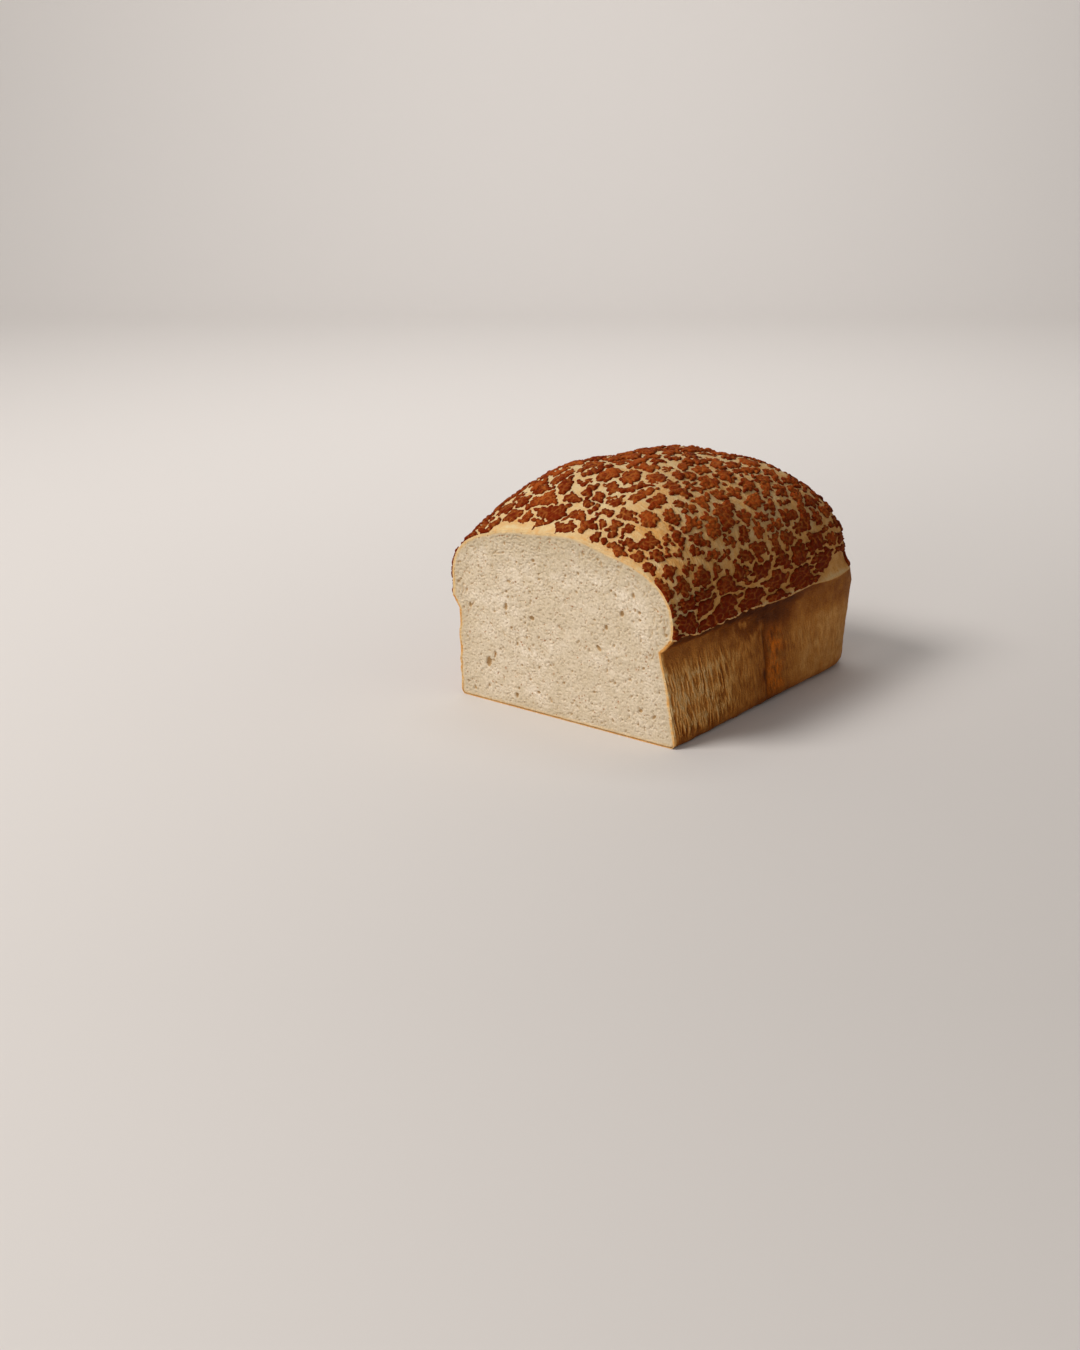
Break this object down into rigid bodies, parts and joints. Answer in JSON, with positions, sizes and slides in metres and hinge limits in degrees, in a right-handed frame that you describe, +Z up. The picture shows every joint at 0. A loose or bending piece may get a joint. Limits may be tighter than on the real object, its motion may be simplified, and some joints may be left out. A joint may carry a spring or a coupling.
{
  "type": "tiger bread loaf",
  "caption": "Tin-baked white loaf with a cracked, mottled rice-paste crust on its dome, cut across so that its crumb shows.",
  "frame": {"origin": "middle of the flat base, at the middle of the loaf's width and length", "axes": "+Y along the loaf from the cut face to the uncut end, +X across it, +Z up from the base"},
  "size_m": [0.1432, 0.1926, 0.1263],
  "materials": {
    "crust": "matte baked crust",
    "crumb": "matte open crumb",
    "plates": "matte, granular rice paste"
  },
  "bodies": {
    "root": {"loaf": "crust"}
  },
  "joints": []
}
